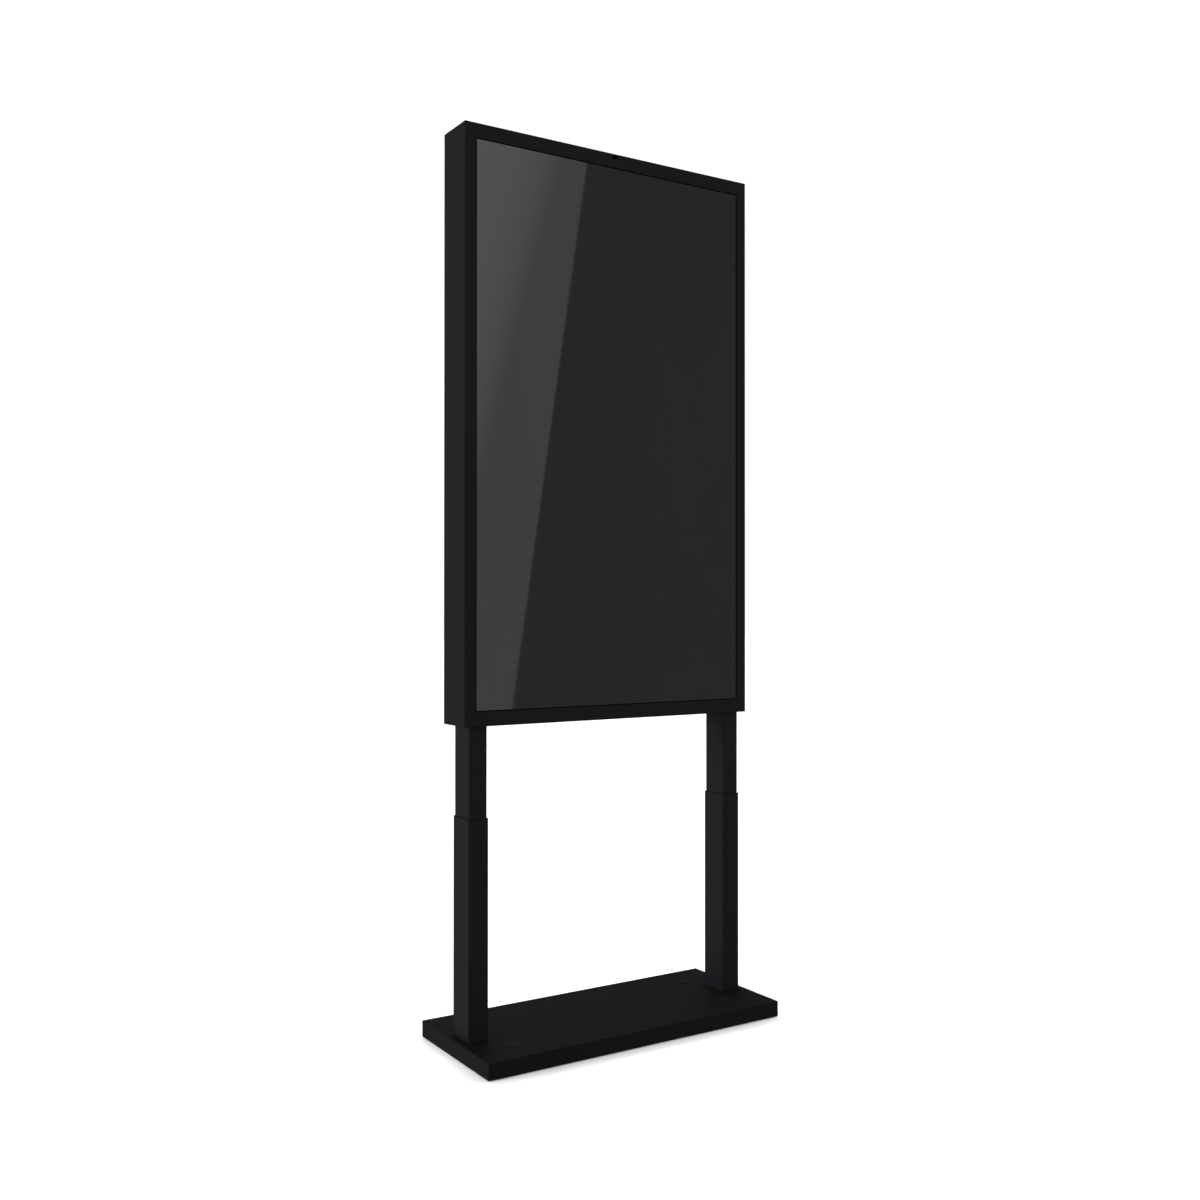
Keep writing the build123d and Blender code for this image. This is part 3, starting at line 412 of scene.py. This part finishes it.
def hoop(shape, radius, wire, place):
    """A closed ring of round wire about the Y axis."""
    rows = []
    for a in circle(HOOP_SIDES):
        out = Vector((math.cos(a), 0, math.sin(a)))
        centre = Vector(place) + out * radius
        rows.append([
            shape.verts.new(centre + out * wire * math.cos(b) + Vector((0, wire * math.sin(b), 0)))
            for b in circle(WIRE_SIDES)
        ])
    bridge(shape, rows + rows[:1])


# A screw head's profile, in radii and heights, and its recess
SCREW_PROFILE = ((0, 0), (1, 0), (1, 0.35), (0.86, 0.8), (0.5, 1), (0.42, 0.45), (0, 0.4))
SCREW_SIDES = 20
RECESS_LIFT = 0.42
RECESS_LENGTH = 0.8
RECESS_DEPTH = 0.2
RECESS_WIDTH = 0.16
RECESS_EDGE = 0.03


def screw_head(shape, radius, height, place, slot_turn):
    """A domed head facing +Y with a crossed recess, standing on the face at the place."""
    profile = [(radius * across, height * up) for across, up in SCREW_PROFILE]
    lathe(shape, profile, place, Z_TO_Y, SCREW_SIDES)
    middle = Matrix.Translation(Vector(place) + Vector((0, height * RECESS_LIFT, 0)))
    size = (radius * RECESS_LENGTH, height * RECESS_DEPTH, radius * RECESS_WIDTH, 1)
    for angle in (slot_turn, slot_turn + 90.0):
        turn = Matrix.Rotation(math.radians(angle), 4, "Y")
        soft_block(shape, middle @ turn @ Matrix.Diagonal(size), radius * RECESS_EDGE, segments=1)


# ---------------------------------------------------------------- detail pieces
GUARD_RADII = (0.0165, 0.0270, 0.0375, 0.0480, 0.0575)
GUARD_WIRE = 0.0008
GUARD_GAP = 0.0009  # from the fan's face to the middle of the hoops' wire
SPOKES = 4
SPOKE_START = 0.0160
SPOKE_LENGTH = 0.0420
SPOKE_TAPER = 0.0004
SPOKE_OFFSET = Vector((0, 0.0002, 0))  # the spokes lie on the hoops' far side from the fan, welded to them


def fan_guard():
    """Welded wire guard over the rotor, on the side that faces into the housing."""
    low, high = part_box("fan_housing")
    centre = Vector(((low[0] + high[0]) / 2, low[1] - GUARD_GAP, (low[2] + high[2]) / 2))
    guard = bmesh.new()
    for radius in GUARD_RADII:
        hoop(guard, radius, GUARD_WIRE, centre)
    taper_end = SPOKE_LENGTH - SPOKE_TAPER
    profile = [(0, 0), (GUARD_WIRE, SPOKE_TAPER), (GUARD_WIRE, taper_end), (0, SPOKE_LENGTH)]
    for i in range(SPOKES):
        turn = Matrix.Rotation(math.radians(360 / SPOKES * i), 4, "Y") @ Z_TO_X
        start = turn.to_3x3() @ Vector((0, 0, SPOKE_START))
        lathe(guard, profile, centre + start - SPOKE_OFFSET, turn, WIRE_SIDES)
    make_piece("fan_guard", guard, "zinc_steel", "rear_door")


PLUG_EDGE = 0.0009
SLEEVE_RIBS = 4
SLEEVE_RADIUS = 0.0047
SLEEVE_TAPER = 0.00025  # from one rib to the next
RIB_PITCH = 0.0017
RIB_PROFILE = ((0.0, 0.0), (0.0, -0.0010), (-0.0006, -0.0012), (-0.0006, -0.0016))
SLEEVE_INSIDE = 0.0004
SLEEVE_TIP = 0.0002


def plug(shape, x, y, base, top, half):
    """A moulded plug that goes up into a socket, with a ribbed sleeve where the lead enters it."""
    soft_box(shape, (x - half[0], y - half[1], base), (x + half[0], y + half[1], top), PLUG_EDGE)
    sleeve = [(0, SLEEVE_INSIDE)]
    for i in range(SLEEVE_RIBS):
        height, radius = -RIB_PITCH * i, SLEEVE_RADIUS - SLEEVE_TAPER * i
        sleeve += [(radius + out, height + up) for out, up in RIB_PROFILE]
    sleeve.append((0, sleeve[-1][1] - SLEEVE_TIP))
    lathe(shape, sleeve, (x, y, base))


# Plugs under a box. x is from its left side, or from its right if negative, y from its front, and z from its
# underside. half is half the plug's width and depth.
PLUGS = {
    "motor_plugs": dict(
        node="lift_controller", x=(0.024, 0.108), y=0.017, z=(-0.0052, 0.0078), half=(0.0070, 0.0064)
    ),
    "screen_plug": dict(
        node="media_player", x=(-0.039,), y=0.012, z=(-0.0090, 0.0075), half=(0.0070, 0.0034)
    ),
}
INLET_BOOT_HALF = (0.021, 0.0115)
INLET_BOOT_HEIGHT = 0.009
INLET_BOOT_EDGE = 0.002
# Profiles as (radius, height)
INLET_SLEEVE = (
    (0, 0.0085), (0.0062, 0.0085), (0.0056, 0.0120), (0.0044, 0.0210), (0.0034, 0.0220), (0, 0.0220)
)
CORD_GRIP = (
    (0, 0), (0.0050, 0), (0.0050, -0.0025), (0.0044, -0.0032), (0.0044, -0.0058), (0.0036, -0.0066),
    (0, -0.0066),
)
CORD_GRIP_X = 0.059
CORD_GRIP_Y = 0.014


def lead_ends():
    """Plugs, boot and grip at the ends of the leads."""
    for name, at in PLUGS.items():
        low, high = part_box(at["node"])
        plugs = bmesh.new()
        for x in at["x"]:
            side = high if x < 0 else low
            plug(plugs, side[0] + x, low[1] + at["y"], low[2] + at["z"][0], low[2] + at["z"][1], at["half"])
        make_piece(name, plugs, "inlet_plastic")
    low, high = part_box("power_inlet")
    x, y, z = (low[0] + high[0]) / 2, (low[1] + high[1]) / 2, high[2]
    wide, deep = INLET_BOOT_HALF
    cover = bmesh.new()
    soft_box(cover, (x - wide, y - deep, z), (x + wide, y + deep, z + INLET_BOOT_HEIGHT), INLET_BOOT_EDGE)
    lathe(cover, INLET_SLEEVE, (x, y, z))
    make_piece("inlet_boot", cover, "lead_rubber")
    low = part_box("power_supply")[0]
    grip = bmesh.new()
    lathe(grip, CORD_GRIP, (low[0] + CORD_GRIP_X, low[1] + CORD_GRIP_Y, low[2]))
    make_piece("supply_cord_grip", grip, "inlet_plastic")


ARROW_OUTLINE = ((-0.0033, -0.0029), (0.0033, -0.0029), (0.0, 0.0028))
ARROW_BOTTOM = 0.00032  # below the button's face, as is ARROW_TOP
ARROW_TOP = 0.00012
ARROW_SHOULDER = 0.00005
ARROW_TOP_SCALE = 0.92


def button_arrow(body, way):
    """Pale filling of the arrow cut into a button's face; way is 1 for up and -1 for down."""
    low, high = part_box(body)
    middle = (low + high) / 2
    top = high[0] - ARROW_TOP
    arrow = bmesh.new()
    rings = []
    for x, scale in ((high[0] - ARROW_BOTTOM, 1.0), (top - ARROW_SHOULDER, 1.0), (top, ARROW_TOP_SCALE)):
        ring = [(x, middle[1] + y * scale, middle[2] + z * scale * way) for y, z in ARROW_OUTLINE]
        rings.append([arrow.verts.new(place) for place in ring])
    arrow.faces.new(rings[0])
    arrow.faces.new(rings[-1])
    bridge(arrow, rings)
    make_piece(body + "_arrow", arrow, "arrow_paint", body)


COVER_SCREW_HEIGHT = 0.0012
TERMINALS = 5
TERMINAL_FIRST = (0.023, 0.0125, 0.005)  # from the supply's lowest corner
TERMINAL_PITCH = 0.016
TERMINAL_SCREW = (0.0031, 0.0014)  # radius and height
TERMINAL_TURN = 35.0  # from one screw to the next
LAMP_LENS = ((0, 0), (0.0021, 0), (0.0021, 0.0004), (0.0016, 0.0010), (0.0008, 0.0014), (0, 0.0015))
# (lamps, distance from the right side, distance from the top) on each box, with LAMP_PITCH between lamps
LAMPS = {"power_supply": (1, 0.020, 0.012), "lift_controller": (3, 0.020, 0.022)}
LAMP_PITCH = 0.009
CONTROLLER_RIBS = 9
CONTROLLER_RIB_TOP = 0.055
CONTROLLER_RIB_PITCH = 0.009
CONTROLLER_RIB_INSET = 0.016
CONTROLLER_RIB_HALF = 0.0016
CONTROLLER_RIB_ROOT = 0.0006
CONTROLLER_RIB_HEIGHT = 0.0009
CONTROLLER_RIB_EDGE = 0.0007


def cover_screws(name, node, radius, side, bottom, top, slot_turn):
    """Four screws on a box's rear cover; side, bottom and top are their distances from its edges."""
    low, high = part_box(node)
    screws = bmesh.new()
    for x in (low[0] + side, high[0] - side):
        for z in (low[2] + bottom, high[2] - top):
            screw_head(screws, radius, COVER_SCREW_HEIGHT, (x, high[1], z), slot_turn)
    make_piece(name, screws, "zinc_steel")


def terminal_screws():
    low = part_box("power_supply")[0]
    x, y, z = (edge + offset for edge, offset in zip(low, TERMINAL_FIRST))
    screws = bmesh.new()
    for i in range(TERMINALS):
        screw_head(screws, *TERMINAL_SCREW, (x + TERMINAL_PITCH * i, y, z), TERMINAL_TURN * i)
    make_piece("terminal_screws", screws, "zinc_steel")


def status_lamps():
    lamps = bmesh.new()
    for node, (count, side, drop) in LAMPS.items():
        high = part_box(node)[1]
        for i in range(count):
            lathe(lamps, LAMP_LENS, (high[0] - side - LAMP_PITCH * i, high[1], high[2] - drop), Z_TO_Y)
    make_piece("status_lamps", lamps, "lamp_lens")


def controller_ribs():
    low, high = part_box("lift_controller")
    left, right = low[0] + CONTROLLER_RIB_INSET, high[0] - CONTROLLER_RIB_INSET
    root, crest = high[1] - CONTROLLER_RIB_ROOT, high[1] + CONTROLLER_RIB_HEIGHT
    ribs = bmesh.new()
    for i in range(CONTROLLER_RIBS):
        z = high[2] - CONTROLLER_RIB_TOP - CONTROLLER_RIB_PITCH * i
        corners = (left, root, z - CONTROLLER_RIB_HALF), (right, crest, z + CONTROLLER_RIB_HALF)
        soft_box(ribs, *corners, CONTROLLER_RIB_EDGE)
    make_piece("controller_ribs", ribs, "controller_plastic")


LEAF_THICKNESS = 0.002
LEAF_HEIGHT = 0.0295
LEAF_SCREW = (0.0028, 0.0007)  # radius and height
LEAF_SCREW_SIDE = 0.012
LEAF_SCREW_DROPS = (0.008, 0.0215)
LEAF_SCREW_TURN = 10.0


def hinge_screws():
    """Two low heads on each hinge leaf."""
    low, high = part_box("door_hinges")
    leaf_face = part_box("door_panel")[1][1] + LEAF_THICKNESS
    heads = bmesh.new()
    for top in (high[2], (high[2] + low[2] + LEAF_HEIGHT) / 2, low[2] + LEAF_HEIGHT):
        for drop in LEAF_SCREW_DROPS:
            screw_head(heads, *LEAF_SCREW, (low[0] + LEAF_SCREW_SIDE, leaf_face, top - drop), LEAF_SCREW_TURN)
    make_piece("hinge_screws", heads, "zinc_steel", "rear_door")


fan_guard()
lead_ends()
button_arrow("button_up", 1)
button_arrow("button_down", -1)
cover_screws(
    "supply_screws", "power_supply", radius=0.0027, side=0.007, bottom=0.018, top=0.008, slot_turn=20.0
)
terminal_screws()
status_lamps()
controller_ribs()
cover_screws(
    "controller_screws", "lift_controller", radius=0.0028, side=0.012, bottom=0.012, top=0.012, slot_turn=45.0
)
hinge_screws()

# ---------------------------------------------------------------- floor, light and surroundings
FLOOR_HALF = 30.0
FLOOR_FINISH = dict(
    colour=(0.77, 0.77, 0.77), tone=0.01, rough=(0.8, 0.9), patch=1.0, grain=60.0, relief=0.00001,
    Specular_IOR_Level=0.1,
)
# The board reflected in the cover glass: its own place, its layout on the glass as (x, z), and its radiance
CARD_Y = -3.0
BAND_HEAD = (-0.0726, 1.9521)
BAND_FOOT = (-0.2583, 0.7382)
RAMP_LINE = ((-0.136, 1.948), (-0.324, 1.282))
RAMP_DEPTH = 0.065
CARD_GLOW = (0.77, 1.58)
CARD_SPARE = 0.18  # extra length at each end, for the lift
CARD_SIDE_SPARE = 0.01
CARD_ROWS = 48
CARD_COLUMNS = 16
# Strength of the surroundings. DOME and ROOM are (cosine where it starts to rise, low, high, power).
BACKDROP = 1.05
DOME = (0.0, 0.48, 1.6, 1.0)
ROOM_BRIGHT_SIDE = (-0.75, 0.65, 0.05)
ROOM = (0.3, 0.07, 0.20, 1.0)
# name: (where the light comes from, strength, width in degrees)
SUNS = {
    "left_light": ((-1.0, 0.25, 0.2), 3.5, 25.0),
    "rear_light": ((0.3, 1.0, 0.25), 3.5, 40.0),
    "right_light": ((1.0, 0.3, 0.2), 2.4, 30.0),
}
# name: (place, aim, size, power)
SOFTBOXES = {
    "rear_softbox": ((1.0, 3.2, 3.4), (0.0, 0.0, 1.3), (1.6, 1.0), 50.0),
    "front_fill": ((2.4, -2.4, 0.7), (0.3, 0.0, 0.8), (1.2, 1.2), 50.0),
}


def stage_floor():
    """A pale floor that shows the object's shadow. Reflections and bounced light leave it out."""
    mesh = bpy.data.meshes.new("floor")
    half = FLOOR_HALF
    corners = [(-half, -half, 0), (half, -half, 0), (half, half, 0), (-half, half, 0)]
    mesh.from_pydata(corners, [], [(0, 1, 2, 3)])
    mesh.materials.append(surface("floor_paper", **FLOOR_FINISH))
    floor = add_object("floor", mesh)
    floor.visible_glossy = False
    floor.visible_diffuse = False


def add_light(name, data, rotation):
    """A light that neither the camera nor a reflection sees."""
    light = add_object(name, data)
    light.rotation_euler = rotation.to_euler()
    light.visible_camera = False
    light.visible_glossy = False
    return light


def softbox(name, place, aim, size, power):
    """A rectangular light at a place, turned towards the aim."""
    data = bpy.data.lights.new(name, "AREA")
    data.shape = "RECTANGLE"
    data.size, data.size_y = size
    data.energy = power
    add_light(name, data, (Vector(aim) - Vector(place)).to_track_quat("-Z", "Y")).location = place


def sun(name, source, strength, angle):
    """Even light from one side, with soft shadows. The surroundings stand in for it in glossy surfaces."""
    data = bpy.data.lights.new(name, "SUN")
    data.energy = strength
    data.angle = math.radians(angle)
    add_light(name, data, Vector(source).to_track_quat("Z", "Y"))


def card_mesh():
    """Board with its brightness in the attribute glow.

    It is laid out on the glass, in (x, z), and thrown out from there along the mirrored lines of sight. Its
    slanted edge makes the diagonal line across the screen, and it brightens towards the top left corner.
    """
    glass_low, glass_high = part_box("touch_glass")
    glass_y = glass_low[1]
    throw = (glass_y - CARD_Y) / (glass_y - CAMERA_PLACE[1])
    lean = Vector((BAND_FOOT[0] - BAND_HEAD[0], BAND_FOOT[1] - BAND_HEAD[1]))
    ramp_normal = Vector((RAMP_LINE[1][1] - RAMP_LINE[0][1], RAMP_LINE[0][0] - RAMP_LINE[1][0])).normalized()
    bottom, top = glass_low[2] - CARD_SPARE, glass_high[2] + CARD_SPARE
    left = glass_low[0] - CARD_SIDE_SPARE
    board = bmesh.new()
    glow = board.verts.layers.float.new("glow")
    rows = []
    for i in range(CARD_ROWS + 1):
        z = bottom + (top - bottom) * i / CARD_ROWS
        edge = BAND_HEAD[0] + lean.x * (z - BAND_HEAD[1]) / lean.y
        row = []
        for j in range(CARD_COLUMNS + 1):
            x = edge + (left - edge) * j / CARD_COLUMNS
            place = (x + (x - CAMERA_PLACE[0]) * throw, CARD_Y, z + (z - CAMERA_PLACE[2]) * throw)
            vert = board.verts.new(place)
            depth = max((Vector((x, z)) - Vector(RAMP_LINE[0])).dot(ramp_normal), 0.0)
            vert[glow] = CARD_GLOW[0] + (CARD_GLOW[1] - CARD_GLOW[0]) * (1 - math.exp(-depth / RAMP_DEPTH))
            row.append(vert)
        rows.append(row)
    bridge(board, rows, closed=False)
    mesh = bpy.data.meshes.new("reflected_card")
    board.to_mesh(mesh)
    board.free()
    return mesh


def card_light():
    """Material that shines with the strength in the attribute glow."""
    material = bpy.data.materials.new("card_light")
    material.use_nodes = True
    tree = material.node_tree
    tree.nodes.clear()
    attribute = tree.nodes.new("ShaderNodeAttribute")
    attribute.attribute_name = "glow"
    emission = tree.nodes.new("ShaderNodeEmission")
    output = tree.nodes.new("ShaderNodeOutputMaterial")
    tree.links.new(attribute.outputs["Fac"], emission.inputs["Strength"])
    tree.links.new(emission.outputs["Emission"], output.inputs["Surface"])
    return material


def reflected_card():
    """Bright board out to the front right, seen only in the cover glass."""
    mesh = card_mesh()
    mesh.materials.append(card_light())
    card = add_object("reflected_card", mesh)
    card.visible_camera = False
    card.visible_diffuse = False
    card.visible_shadow = False


def surroundings():
    """White to the camera, a dome that is brightest overhead to matt surfaces, and to glossy ones a dim room
    that is brighter at the back left."""
    world = bpy.data.worlds.new("studio")
    world.use_nodes = True
    world.cycles.sampling_method = "NONE"
    tree = world.node_tree
    tree.nodes.clear()
    path = tree.nodes.new("ShaderNodeLightPath")
    output = tree.nodes.new("ShaderNodeOutputWorld")
    coordinates = tree.nodes.new("ShaderNodeTexCoord")

    def towards(direction, start, low, high, power):
        """A strength that rises from low to high as the direction is neared."""
        dot = tree.nodes.new("ShaderNodeVectorMath")
        dot.operation = "DOT_PRODUCT"
        dot.inputs[1].default_value = Vector(direction).normalized()
        tree.links.new(coordinates.outputs["Generated"], dot.inputs[0])
        part = spread(tree, dot.outputs["Value"], 0.0, 1.0, start, 1.0)
        return spread(tree, arithmetic(tree, "POWER", part, power), low, high, 0.0, 1.0)

    def background(strength):
        """White of a strength that is a number, or the output of another node."""
        node = tree.nodes.new("ShaderNodeBackground")
        node.inputs["Color"].default_value = (1.0, 1.0, 1.0, 1.0)
        if isinstance(strength, float):
            node.inputs["Strength"].default_value = strength
        else:
            tree.links.new(strength, node.inputs["Strength"])
        return node.outputs["Background"]

    def choose(factor, plain, chosen):
        node = tree.nodes.new("ShaderNodeMixShader")
        tree.links.new(factor, node.inputs[0])
        tree.links.new(plain, node.inputs[1])
        tree.links.new(chosen, node.inputs[2])
        return node.outputs[0]

    dome = background(towards((0, 0, 1), *DOME))
    room = background(towards(ROOM_BRIGHT_SIDE, *ROOM))
    lit = choose(path.outputs["Is Glossy Ray"], dome, room)
    shown = choose(path.outputs["Is Camera Ray"], lit, background(BACKDROP))
    tree.links.new(shown, output.inputs["Surface"])
    bpy.context.scene.world = world


stage_floor()
reflected_card()
surroundings()
for name, settings in SUNS.items():
    sun(name, *settings)
for name, settings in SOFTBOXES.items():
    softbox(name, *settings)
bpy.context.scene.view_settings.view_transform = "Standard"
bpy.context.scene.view_settings.look = "None"
